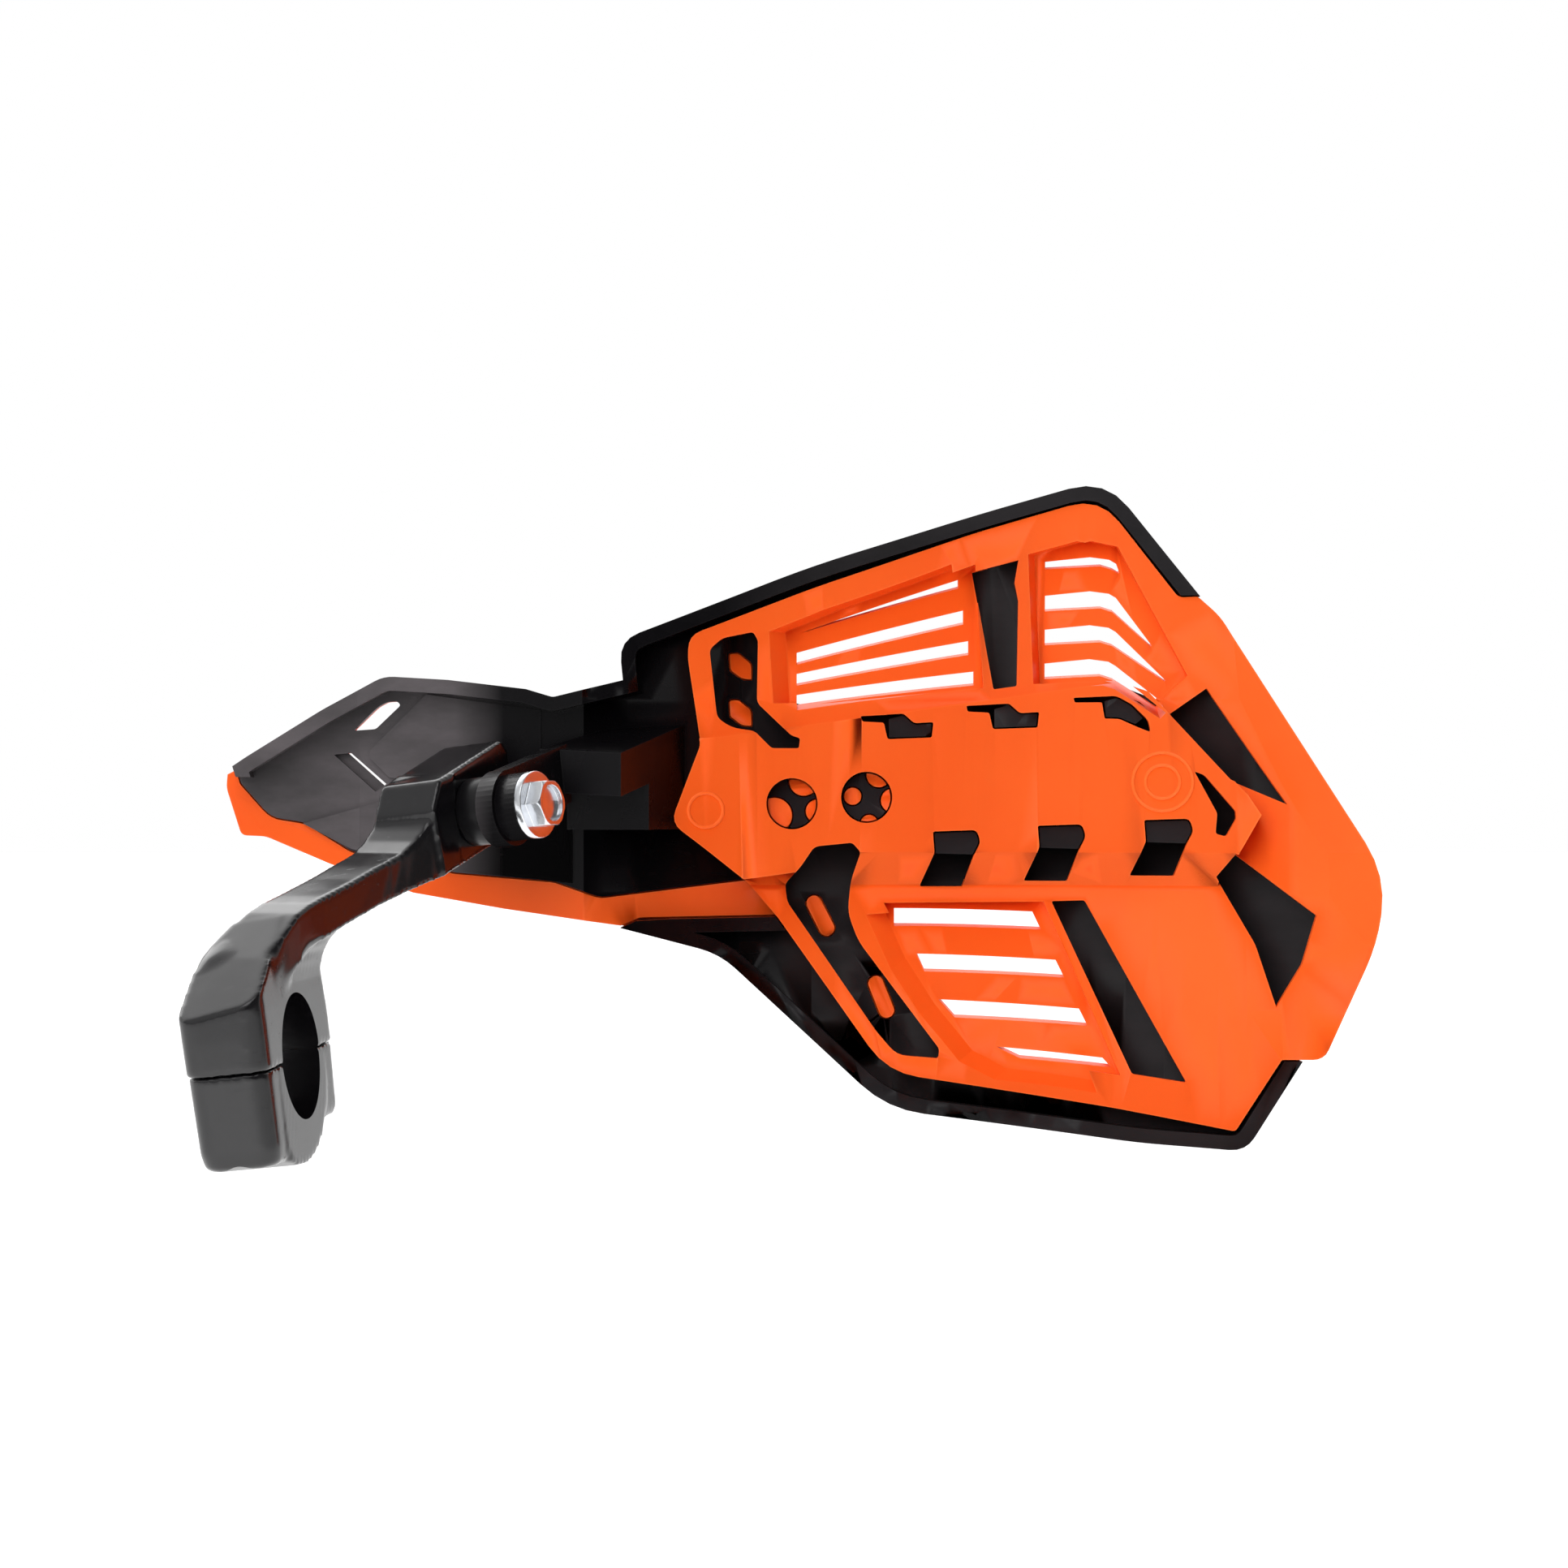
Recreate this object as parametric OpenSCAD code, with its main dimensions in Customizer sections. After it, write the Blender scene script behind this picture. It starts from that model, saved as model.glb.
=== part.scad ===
// Motorcycle hand guard for the right hand, seen from the rider's seat.
// A moulded shield of three layers tilts on a friction hinge, and an arm with a split clamp carries it.
// The origin is the centre of the clamp bore. X runs outboard, Y runs forward and Z runs up.

/* [Handlebar clamp] */
// Diameter of the handlebar that the clamp grips
bar_d = 22.2; // [18:0.1:30]
// Width of the clamp along the bar
clamp_w = 15; // [13:0.5:22]
// Wall between the bore and each clamp screw
clamp_bore_wall = 1.5; // [1:0.1:3]
// Wall outside each clamp screw
clamp_edge_wall = 2; // [1.5:0.1:4]
// Wall of the ring round the bore
clamp_ring_wall = 8.2; // [6:0.1:11]
// Height of the rear boss, on the rider's side, above the split
boss_rear_h = 11.5; // [10:0.1:14]
// Height of the front boss above the split
boss_front_h = 12; // [10.5:0.1:14]
// Depth of the rear boss below the split
cap_rear_h = 16.4; // [12:0.1:18]
// Depth of the front boss below the split
cap_front_h = 12.2; // [11:0.1:16]
// Gap of the split between the two clamp halves
split_gap = 0.6; // [0.3:0.1:1.5]

/* [Clamp screws] */
// Thread diameter of the clamp screws
clamp_screw_d = 5; // [4:0.5:6]
// Head diameter of the clamp screws
clamp_head_d = 8.4; // [7:0.1:9]
// Head height of the clamp screws
clamp_head_h = 5; // [4:0.1:6]
// Depth of the head seat below the split
clamp_seat_z = 6.4; // [5:0.1:7]
// Outside diameter of the threaded inserts
insert_d = 7; // [6.4:0.1:7.2]
// Length of the threaded inserts
insert_h = 7.5; // [5:0.1:8]
// Width across the flats of the clamp screws' sockets
socket_af = 4; // [3:0.5:4]

/* [Arm] */
// Height of the neck above the clamp's ring
neck_h = 2.9; // [2:0.1:5]
// Width of the arm's beam
beam_w = 11; // [9:0.5:14]
// Width of the arm's end block
end_block_w = 13; // [12:0.5:16]
// Angle at which the arm is swept forward
arm_sweep = 30; // [25:0.5:35]
// Angle by which the beam leans outboard on its way up
arm_tip = 6; // [3:0.5:8]
// Angle by which the pivot's outer end points up
pivot_tip = 6; // [3:0.5:8]

/* [Pivot] */
// Distance of the pivot from the clamp bore along the arm
pivot_reach = 51.1; // [50:0.1:53]
// Height of the pivot above the clamp bore
pivot_rise = 42.6; // [41:0.1:45]
// Thread diameter of the pivot bolt
pivot_d = 6; // [5:0.1:8]
// Diameter of the pivot bolt's flange
flange_d = 12.2; // [11:0.1:15]
// Thickness of the pivot bolt's flange
flange_h = 1.4; // [1:0.1:2]
// Width across the flats of the pivot bolt's head
head_af = 8; // [7:0.5:10]
// Height of the pivot bolt's head above its flange
head_h = 3; // [2.5:0.1:5]
// Width across the flats of the pivot nut
nut_af = 10; // [9:0.1:11]
// Height of the pivot nut
nut_h = 5; // [4:0.1:6]
// Thickness of the spacer between the arm and the shield's ear
spacer_h = 5; // [4:0.1:6]
// Diameter of the spacer
spacer_d = 12.4; // [11:0.1:14]
// Outside diameter of the sleeve on which the shield turns
sleeve_d = 8; // [7.8:0.1:9]
// Thickness of the shield's ear
ear_t = 3.6; // [3:0.1:5]
// Diameter of the ear's rounded end
ear_d = 14; // [13:0.1:17]
// Height of the boss on the ear
ear_boss_h = 4.1; // [3:0.1:6]
// Diameter of the boss on the ear
ear_boss_d = 12.2; // [11.5:0.1:13.4]

/* [Shield] */
// Width of the curved panel, from the wing to its outer end
panel_w = 147.8; // [135:0.1:155]
// Height of the curved panel
panel_h = 124.8; // [112:0.1:132]
// Width of the flat wing, from its tip to the curved panel
wing_w = 66.8; // [58:0.1:72]
// Radius of the shield's plan curve at the liner's beds
shield_r = 150; // [140:1:170]
// Place of the middle of the plan curve along X
shield_x = 110; // [105:0.5:115]
// Deepest place of the liner's beds along Y
shield_y = 74; // [74:0.5:80]
// Lean of the shield's top edge towards the rider
top_lean = 5; // [2:0.5:8]
// Lean of the shield's bottom edge towards the rider
bottom_lean = 4.5; // [2:0.5:8]
// Wall of the inner liner
liner_wall = 2.2; // [1.6:0.1:2.8]
// Wall of the shell
shell_wall = 2.4; // [1.8:0.1:3.2]
// Wall of the front cover
cover_wall = 2.2; // [1.6:0.1:3]
// Gap between one layer and the next
layer_gap = 0.3; // [0.2:0.05:0.5]
// Height of the liner's field over its beds
field_rise = 3.2; // [2.4:0.1:4]
// Height of the liner's plateau over its beds
plateau_rise = 9; // [7:0.1:11]
// Height of the liner's end band over its beds
band_rise = 8; // [6:0.1:10]
// Width of the shell's lip
lip_w = 2.6; // [2:0.1:3.2]
// Height of the shell's lip over the shell's wall
lip_h = 6; // [3:0.1:8]
// Height of the raised pads on the wing
pad_h = 0.7; // [0.3:0.1:1.2]
// Width of the strut between the ear and the shell
strut_w = 14.8; // [11:0.1:16]
// Height of the strut between the ear and the shell
strut_h = 8; // [6:0.1:10]
// Slope of the louvres, as an angle
louvre_tilt = 12; // [4:1:20]

/* [Hidden] */
$fn = 72;
slip = 0.05;
screw_clearance = 0.25;
nut_clearance = 0.15;
nut_recess = 0.2;
far = 400;
over = 1;
orange = "darkorange";
black = "dimgray";

// Frames of the clamp and of the pivot, as turns about X, Y and Z
clamp_turn = [5, -6, -11.5];
arm_turn = [0, arm_tip, -arm_sweep];

// Clamp sizes that follow from the bar and the screws
bar_r = bar_d / 2;
screw_hole_r = clamp_screw_d / 2 + screw_clearance;
head_hole_r = clamp_head_d / 2 + screw_clearance;
insert_r = insert_d / 2;
socket_h = 2.6;
cap_boss_y = 4;
screw_y = bar_r + clamp_bore_wall + screw_hole_r;
clamp_y = screw_y + screw_hole_r + clamp_edge_wall;
ring_r = bar_r + clamp_ring_wall;

// Side profile of the neck on the clamp, and of the beam where it leaves the neck, from the ring's top
neck_profile = [[-7.5, 0, 3], [2, neck_h, 3], [8, neck_h - 1.4, 2], [13, -1.3, 2]];
beam_start_high = [[-3, neck_h - 4, 0], [12, neck_h + 4.1, 6]];
beam_start_low = [[20.8, neck_h + 2.5, 4], [10.8, neck_h - 0.5, 3], [6, neck_h - 4.2, 2], [-3, neck_h - 6.2, 0]];

// Side profile of the beam and of the end block, measured from the pivot
beam_end = [[-18.3, -6, 3.5], [-13.1, 0.4, 2], [-10.6, 4.6, 0], [-7.1, 5.4, 0], [-7.1, -9.6, 0],
    [-17.3, -13.6, 2]];
block_profile = [[-13.1, 0.4, 0], [-10.1, 5.9, 1.2], [11.5, 13.4, 1.5], [13.5, 11.4, 1], [13.5, -2.6, 1],
    [11.9, -4.6, 1], [5.6, -6.1, 0], [-11.1, -11.6, 2]];
beam_plan = [[-10, clamp_w / 2], [3, clamp_w / 2], [15, beam_w / 2], [60, beam_w / 2]];

// Stack on the pivot, measured outboard from the middle of the arm
arm_face = end_block_w / 2;
ear_s0 = arm_face + spacer_h + slip;
ear_s1 = ear_s0 + ear_t;
boss_s1 = ear_s1 + ear_boss_h;
head_s0 = boss_s1 + slip;
nut_s0 = -arm_face + nut_recess;
nut_hole_r = nut_af / 2 / cos(30) + nut_clearance;
head_r = head_af / 2 / cos(30);
dish_d = 0.82 * head_af;
dish_h = 1;
head_chamfer = 0.5;
bore_r = pivot_d / 2 + slip;
ear_r = ear_d / 2;
ear_join_r = ear_r - 0.1;
ear_rise = 13;
ear_drop = 8;
ear_plate = [[13, 10.1], [20, 11.7], [20, 1], [13, -1.4]];

// Radii of the shield's layers about the upright axis of the plan curve
axis_y = shield_y - shield_r;
field_r = shield_r - field_rise;
plateau_r = shield_r - plateau_rise;
band_r = shield_r - band_rise;
shell_r = shield_r + liner_wall + layer_gap;
cover_r = shell_r + shell_wall + layer_gap;
back_r = cover_r + cover_wall;
web_r = plateau_r + liner_wall;
wing_x = 54;
foot_step = 0.5;

// Shapes of the shield are drawn at the measured size and stretched about the foot of the wing and the pivot
panel_scale = panel_w / 147.8;
wing_scale = wing_w / 66.8;
height_scale = panel_h / 124.8;
function along(x) = wing_x + (x - wing_x) * (x > wing_x ? panel_scale : wing_scale);
function level(z) = pivot_rise + (z - pivot_rise) * height_scale;
function placed(a) = [for (p = a) concat([along(p[0]), level(p[1])], len(p) > 2 ? [p[2]] : [])];

// Strut in plan, from the back of the ear to the middle of the shell's wall, and the gusset below it
strut_rise = 12.1;
strut_slope = 0.224;
strut_ends = [along(58.5), along(73.5)];
strut_s = ear_s0 - 1.2;
strut_t = [16.3, 20.8];
gusset_low = 39.7;
gusset_y = 58;
function beside_pivot(s, t) = let (reach = pivot_reach + t, shift = s + pivot_rise * sin(arm_tip))
    [shift * cos(arm_sweep) + reach * sin(arm_sweep), reach * cos(arm_sweep) - shift * sin(arm_sweep)];
strut_plan = concat([beside_pivot(strut_s, strut_t[0]), beside_pivot(strut_s + strut_w, strut_t[1])],
    [for (x = reversed(strut_ends)) [x, ring_y(x, shell_r + shell_wall / 2)]]);
function strut_top(y) = pivot_rise + strut_rise + strut_slope * (y - strut_plan[0][1]);
strut_side = let (y0 = 20, y1 = shield_y + y0) [[y0, strut_top(y0)], [y1, strut_top(y1)], [y1, gusset_low],
    [gusset_y, gusset_low], [gusset_y, strut_top(gusset_y) - strut_h], [y0, strut_top(y0) - strut_h]];

// Heights between which the shield stands upright in side view
lean_top = 112;
lean_high = 64;
lean_low = 28;
lean_bottom = -26;

// Outline of the shell, as X, Z and the length cut back for rounding each corner
shell_outline = placed([
    [-10, 48.3, 0], [-11, 51.5, 0], [-8.5, 53.2, 1], [5.5, 62, 2], [17, 68.3, 2], [29, 67.6, 0],
    [43.5, 65.9, 0], [48.5, 64.4, 0.5], [61.5, 67.6, 0], [60.8, 75, 4], [97, 89.2, 8],
    [128.5, 98.9, 8], [151.5, 105.2, 7], [169.3, 82.5, 1], [186, 54.5, 5], [197.5, 35, 7],
    [196.5, 19, 5], [187, -2.6, 0.5], [176.8, -19.6, 3], [157.5, -18.6, 5], [111, -12.9, 7],
    [79.5, 16.3, 4], [61, 21.3, 0], [64.5, 22.8, 0.5], [91, 23.2, 0], [88, 30.7, 0], [57, 27, 1],
    [48.5, 30, 1], [30, 31.6, 0], [10.5, 35.6, 1], [2, 41, 1.5], [-4.5, 42, 2]]);

// Outline of the inner liner, whose outer end wraps over the end of the shell
liner_outline = placed([
    [76, 55.5, 1], [73.6, 71.5, 1], [73.7, 76, 2.5], [97, 85, 4], [127.5, 95.3, 4], [150.5, 101.8, 6],
    [165, 82.9, 1], [168.5, 83, 0.5], [172.5, 79.3, 2], [194.2, 43.5, 5], [201.4, 31.5, 7],
    [199.8, 19, 5], [190.6, -2.4, 2], [183.3, -2.6, 0.3], [175, -16, 0.6], [153, -12.2, 3],
    [111, -6, 6], [90.5, 23, 0.5], [84.5, 30, 1], [77, 36, 2], [70.5, 41, 2.5]]);

// Outline of the front cover, which reaches past the shell along the foot of the wing
cover_outline = placed([
    [-12.8, 47.5, 1], [-12.6, 50, 0], [5.5, 59.5, 2], [17, 65.8, 2], [48.5, 62, 1], [62, 66, 2],
    [65, 74, 3], [128, 95.8, 8], [150, 101.5, 6], [185, 52, 5], [193.5, 35, 6], [192.5, 19, 5],
    [183.5, -4, 1], [175, -16, 3], [112.5, -9.5, 6], [80.5, 19, 4], [62, 21.4, 0],
    [39, 24.8, 0], [22, 27.8, 0], [6.5, 33.2, 0], [-5.5, 38.4, 1], [-10, 38.6, 1]]);

// Place from which the liner's rim wraps the end of the shell
wrap_x = 172;

// Raised plateau of the liner: its area, the part that has no slope below, and the slope's heights
plateau_area = placed([[66, 41.5], [70, 55.6], [154, 67.2], [159.2, 65.4], [177, 46.2], [179.4, 42.5],
    [171.5, 28], [106, 28], [84, 28], [66, 28]]);
plateau_left = placed([[66, 41.5], [66, 56.2], [95, 57.8], [106, 35.4], [95, 31.8], [66, 28]]);
slope_high = 35.4;
slope_low = 29.2;
slope_shift = tan(atan2(plateau_rise - field_rise, slope_high - slope_low) / 2);

// Band that wraps the liner's outer end
band_area = placed([[167, 86], [178.5, 59], [191.5, 35.5], [192, 30], [190.5, 16], [181, 0.5],
    [170.5, -9.5], [172, -20], [205, -20], [205, 86]]);

// Sunk beds that carry the louvres, and how their walls drift in X and Z along Y
bed_edge = 0.6;
drift_upper = [0.85, 0];
drift_outer = [0.45, 0];
drift_lower = [0.85, 0.62];
drift_band = [-1.2, 0];
drift_y = 70;
bed_upper = placed([[94, 76.5], [104, 80.5], [127, 88.6], [128.5, 66.8], [99, 64], [93.5, 64]]);
bed_outer = placed([[140.5, 90.8], [149, 93], [153.5, 92], [166, 68.5], [162, 64.6], [154, 68.2], [140.5, 67.6]]);
bed_lower = placed([[111.4, 25.2], [140, 25.5], [153.4, -5.4], [136, -3.2], [129.6, 0], [122, 8.4], [116, 16.6]]);

// Windows of the liner through which the shell shows
window_hook = placed([[77.6, 73.5, 1], [80, 75.6, 1], [85.8, 76.8, 0.6], [86.7, 75.2, 0.5], [86.5, 63.5, 1],
    [93, 57.3, 0.5], [94.6, 56.8, 0.4], [94.4, 54.9, 0.4], [89.3, 54.9, 0.6], [86, 58.2, 0.8],
    [81.5, 58.8, 2], [79, 60.8, 1]]);
window_post = placed([[127, 88, 0], [135.6, 90.2, 0], [134.9, 86, 0], [135.6, 82.6, 0], [135.4, 66.6, 0.4],
    [131, 66, 0.4]]);
window_end_high = placed([[163.2, 61, 0], [170.2, 66, 0], [184.5, 44.4, 0], [174, 49, 0]]);
window_end_low = placed([[175, 35.4, 0], [189.6, 24, 0], [187, 15, 0.5], [182.4, 7, 0], [178.8, 18.5, 1],
    [171.8, 31, 0]]);
window_lower = placed([[141.8, 26.2, 0.5], [148, 26.4, 0.5], [166.4, -7.3, 0.5], [156.5, -5.9, 0.5]]);
window_foot = placed([[97.3, 36.5, 1], [104.4, 37.2, 0.6], [106, 35.4, 0.6], [104.2, 30, 2], [103.6, 24, 2],
    [105.6, 18.6, 2], [120.8, -1.6, 0.6], [120.6, -3.4, 0.5], [112.8, -2.8, 2], [109, 1.6, 1],
    [92.2, 26, 1], [91.8, 29.4, 0.8], [94.8, 32.8, 1]]);
window_side = placed([[167.5, 50.6, 0.5], [169.4, 49.8, 0.5], [174.9, 43.2, 0.4], [175, 41.8, 0.4],
    [173.2, 38.5, 0.5], [171.3, 39, 0.5], [171.6, 42.8, 0.5]]);

// Hook windows, measured from the upper left corner of each, and the one at the plateau's corner
high_count = 2;
low_count = 3;
hook_high_first = placed([[106, 61]])[0];
hook_high_pitch = [19.7 * panel_scale, 1.85 * height_scale];
hook_high = [[0, 0, 0.4], [8, 0.4, 0.4], [10, -1.4, 0.6], [13.6, -1.2, 0.4], [13.3, -4.1, 0.4],
    [5, -4.4, 0.5], [4.3, -1.3, 0.4], [0.3, -1.1, 0.3]];
hook_corner = placed([[145.6, 64.3, 0.3], [153.5, 64.6, 0.8], [156.3, 63, 0.6], [159.3, 60, 0.8],
    [159.7, 57.8, 0.5], [157, 58.9, 0.5], [154, 60.3, 0.5], [151.3, 60.4, 0.3], [150.8, 63.4, 0.3],
    [145.8, 63.4, 0.3]]);
hook_low_first = placed([[119.5, 39.3]])[0];
hook_low_pitch = [19.5 * panel_scale, 1.1 * height_scale];
hook_low = [[0, 0, 0.4], [8.2, 0.3, 1], [8.9, -2, 0.8], [7.6, -4.6, 0.6], [5.7, -10.4, 0.3],
    [-2.4, -10.4, 0.5], [-1.1, -7.3, 0.5], [0.3, -4, 0.5]];

// Openings of the shell and the front cover behind the louvres
vent_upper = placed([[93, 77, 1], [104, 81.5, 1], [126.2, 89, 1], [129.2, 65.5, 1], [96, 62.8, 2], [92.5, 64, 1]]);
vent_outer = placed([[139, 91, 1], [149, 93.5, 1], [154, 92.5, 2], [167, 69, 1], [162.5, 63.6, 1],
    [154, 67, 1], [139, 66.3, 1]]);
vent_lower = placed([[111, 26, 1], [140.4, 26.5, 1], [154.4, -5.9, 1], [138, -5.6, 2], [124, 1, 2], [111.5, 20, 1]]);

// Louvre gaps in each bed, and the outer corners of the outer bed's gaps
gap_count = 4;
gap_ends = [[[154.4, 89.8], [154.2, 89.6]], [[160.4, 76.4], [160.2, 76.2]], [[163, 69.9], [162.8, 69.7]],
    [[162.4, 65.6], [161.4, 64.4]]];

// Edges of the shell that carry no lip: the wing's tip and foot, and the notch above the panel's corner
plain_edges = placed([[-20, 49.5], [-7.6, 49.5], [0, 45], [20, 40], [57, 33], [86, 35], [93, 24], [60, 22.4], [20, 10], [-20, 10]]);

// Noses of the shell's hooks, inside the hook windows and measured as they are
nose_high = [[5, -0.4, 0.3], [8, 0.4, 0.3], [10, -1.4, 0.6], [13.6, -1.2, 0.3], [13.3, -4.1, 0.3], [5, -4.4, 0.3]];
nose_corner = placed([[151, 63.8, 0.3], [153.5, 64.6, 0.8], [156.3, 63, 0.6], [158.7, 60.4, 0.4], [157, 59, 0.4],
    [154, 60.3, 0.5], [151.3, 60.4, 0.3]]);
nose_low = [[0, 0, 0.4], [8.2, 0.3, 1], [8.9, -2, 0.8], [7.6, -4.6, 0.3], [0.3, -4.4, 0.3]];

// Round holes of the plateau, and the openings of the shell behind each, as X, Z and radius
round_holes = placed([[93.1, 44.5], [107.1, 45.7]]);
round_hole_d = 9.6;
web_inner = [[-3.3, -2.2, 3.6], [4.8, -1.4, 2.5], [2.2, 4.2, 3]];
web_outer = [[-2.6, 0.2, 1.9], [4.9, -0.6, 2.5], [2.3, 4.2, 2.6], [0.5, -4.9, 1.9]];

// Slots of the shell through which the front cover shows, at the hook window and the foot window
slot_square = placed([[81, 73, 0.6], [83, 73.2, 0.6], [85.7, 71, 0.8], [85.7, 67.7, 0.5], [83.6, 67.8, 0.8], [81.2, 69.6, 0.5]]);
slot_drop = 8.8;
slot_ends = [placed([[97.3, 25.6], [99.7, 20.9]]), placed([[109, 10.4], [111, 5.4]])];
slot_w = 3.5;

// Wing: the cut-out above, the sunk slit below and the raised pads
wing_cut = placed([[10.8, 58.2, 0.5], [15, 58.5, 0.5], [19.7, 63, 0.5], [19, 63.7, 0.4], [17.2, 63.6, 0.5], [15.4, 62.7, 1]]);
wing_dip = placed([[7.2, 53.7, 0.3], [10.4, 54, 0.3], [17, 48.2, 0.3], [15, 46.7, 0.3]]);
wing_slit = placed([[9.7, 54, 0], [10.4, 54, 0], [17, 48.2, 0], [16.5, 47.9, 0]]);
dip_depth = 1.5;
pad_upper = placed([[24.5, 65], [14, 54.5], [14, 53], [17.6, 49.4], [33, 48.4], [46, 54], [46, 62]]);
pad_lower = placed([[1.5, 40.8], [17.6, 45.4], [33, 44.4], [52, 44], [52, 29.6], [30, 31.9], [10.5, 36]]);

function ring_y(x, r) = axis_y + sqrt(r * r - pow(x - shield_x, 2));
function side_profile(r) = [[r - top_lean, lean_top], [r, lean_high], [r, lean_low],
    [r - bottom_lean, lean_bottom]];
function reversed(a) = [for (i = [len(a) - 1:-1:0]) a[i]];
function xz(p) = [p[0], p[1]];
function way(a, b) = (b - a) / norm(b - a);
function from_pivot(a) = [for (p = a) [pivot_reach, pivot_rise, 0] + p];
function from_ring(a) = [for (p = a) [0, ring_r, 0] + p];

// An outline with each corner cut back and rounded by a parabola
function rounded(a, steps = 4) = [for (i = [0:len(a) - 1])
    let (n = len(a), p = xz(a[i]), q = xz(a[(i + n - 1) % n]), s = xz(a[(i + 1) % n]), c = a[i][2],
        u = p + c * way(p, q), v = p + c * way(p, s))
    each (c == 0 ? [p] : [for (k = [0:steps]) let (t = k / steps)
        (1 - t) * (1 - t) * u + 2 * t * (1 - t) * p + t * t * v])];

// Rider-side face of the wing in plan, from the joint with the curved panel to the tip
function wing_plan(r) = let (y = ring_y(wing_x, r)) [[wing_x, y], [12, y + 0.5], [-16, y - 2.5]];

// A shape drawn in X and Z, carried through the shield along Y
module through(y0 = 20, y1 = 110) {
    translate([0, y1, 0]) rotate([90, 0, 0]) linear_extrude(y1 - y0) children();
}

// The same with the louvres' slope, turned about a height
module sloped_through(z) {
    translate([0, shield_y, z]) rotate([louvre_tilt, 0, 0])
        translate([0, 40, -z]) rotate([90, 0, 0]) linear_extrude(80) children();
}

// A shape drawn in X and Z on the surface of a radius, carried through so that it drifts along Y
module drifting(a, r, drift, grow = 0) {
    turn_z = -atan(drift[0]);
    turn_x = atan(drift[1] / norm([1, drift[0]]));
    drawn = [for (p = a) let (q = p - (ring_y(p[0], r) - drift_y) * drift - [shield_x, 0])
        [q[0] * cos(turn_z), q[0] * sin(turn_z) * sin(turn_x) + q[1] * cos(turn_x)]];
    translate([shield_x, drift_y, 0]) rotate([turn_x, 0, turn_z]) rotate([90, 0, 0])
        linear_extrude(far / 2, center = true) offset(delta = grow) polygon(drawn);
}

// The curved panel between two radii
module panel(r0, r1) {
    translate([shield_x, axis_y, 0])
        rotate_extrude($fn = 180) polygon(concat(side_profile(r0), reversed(side_profile(r1))));
}

// The curved panel with the flat wing that continues it inboard
module sheet(r0, r1) {
    intersection() {
        panel(r0, r1);
        translate([wing_x, 0, -far / 2]) cube([far, far, far]);
    }
    translate([0, 0, lean_bottom])
        linear_extrude(lean_top - lean_bottom)
            polygon(concat(wing_plan(r0), reversed(wing_plan(r1))));
}

// The plateau's curved face and the slope below it, drawn in by a wall
module sloped_panel(inset) {
    up = slope_shift * inset;
    translate([shield_x, axis_y, 0]) rotate_extrude($fn = 180)
        polygon([[plateau_r + inset, lean_top], [plateau_r + inset, slope_high + up],
            [field_r + inset, slope_low + up], [back_r, slope_low + up], [back_r, lean_top]]);
}

// Places of the hook windows
module high_hooks() {
    for (i = [0:high_count - 1]) {
        translate(hook_high_first + i * hook_high_pitch) children();
    }
}
module low_hooks() {
    for (i = [0:low_count - 1]) {
        translate(hook_low_first + i * hook_low_pitch) children();
    }
}

// Gaps between the louvres of each bed
module upper_gaps() {
    for (i = [0:gap_count - 1]) {
        left = [94 + max(0, 1.5 - 1.5 * i), 77.6 - 4.1 * i];
        right = [124.4 + i, 87.3 - 5.85 * i];
        drop = i == 0 ? [0.1, 1.6] : [2.2, 2.6];
        sloped_through(level(right[1])) polygon(placed([left, right, right - [0, drop[1]], left - [0, drop[0]]]));
    }
}
module outer_gaps() {
    for (i = [0:gap_count - 1]) {
        z = 91.2 - 6.5 * i;
        h = i == 0 ? 1.4 : 2.9;
        sloped_through(level(z)) polygon(placed([[140.7, z], [149, z + 1.2], [152.5, z + 0.9],
            [153.8, z + 0.2], gap_ends[i][0], gap_ends[i][1], [153.2, z - h + 0.4], [151, z + 1 - h],
            [140.7, z - h]]));
    }
}
module lower_gaps() {
    for (i = [0:gap_count - 1]) {
        z = 24.8 - 8.4 * i;
        left = 112.4 + 4.2 * i + (i == gap_count - 1 ? 6.5 : 0);
        right = 138.4 + 4.3 * i;
        h = i == gap_count - 1 ? 1.9 : 3.2;
        sloped_through(level(z)) polygon(placed([[left, z], [right, z - 0.3 * i],
            [right + 1.6, z - h - 0.2 * i], [left + 1.5 * i, z - h]]));
    }
}

// The rider-side form of the liner as a solid, drawn in by a wall
module liner_form(inset) {
    intersection() {
        through() offset(delta = -inset) polygon(rounded(liner_outline));
        union() {
            difference() {
                panel(field_r + inset, back_r);
                for (bed = [[bed_upper, drift_upper], [bed_outer, drift_outer], [bed_lower, drift_lower]]) {
                    intersection() {
                        union() {
                            through() offset(delta = inset + bed_edge) polygon(bed[0]);
                            drifting(bed[0], shield_r, bed[1], inset + bed_edge);
                        }
                        panel(plateau_r, shield_r + inset);
                    }
                }
            }
            intersection() {
                through() offset(delta = -inset) polygon(plateau_area);
                sloped_panel(inset);
            }
            intersection() {
                through() offset(delta = -inset) polygon(plateau_left);
                panel(plateau_r + inset, back_r);
            }
            intersection() {
                drifting(band_area, field_r, drift_band, -inset);
                panel(band_r + inset, back_r);
            }
        }
    }
}

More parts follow.
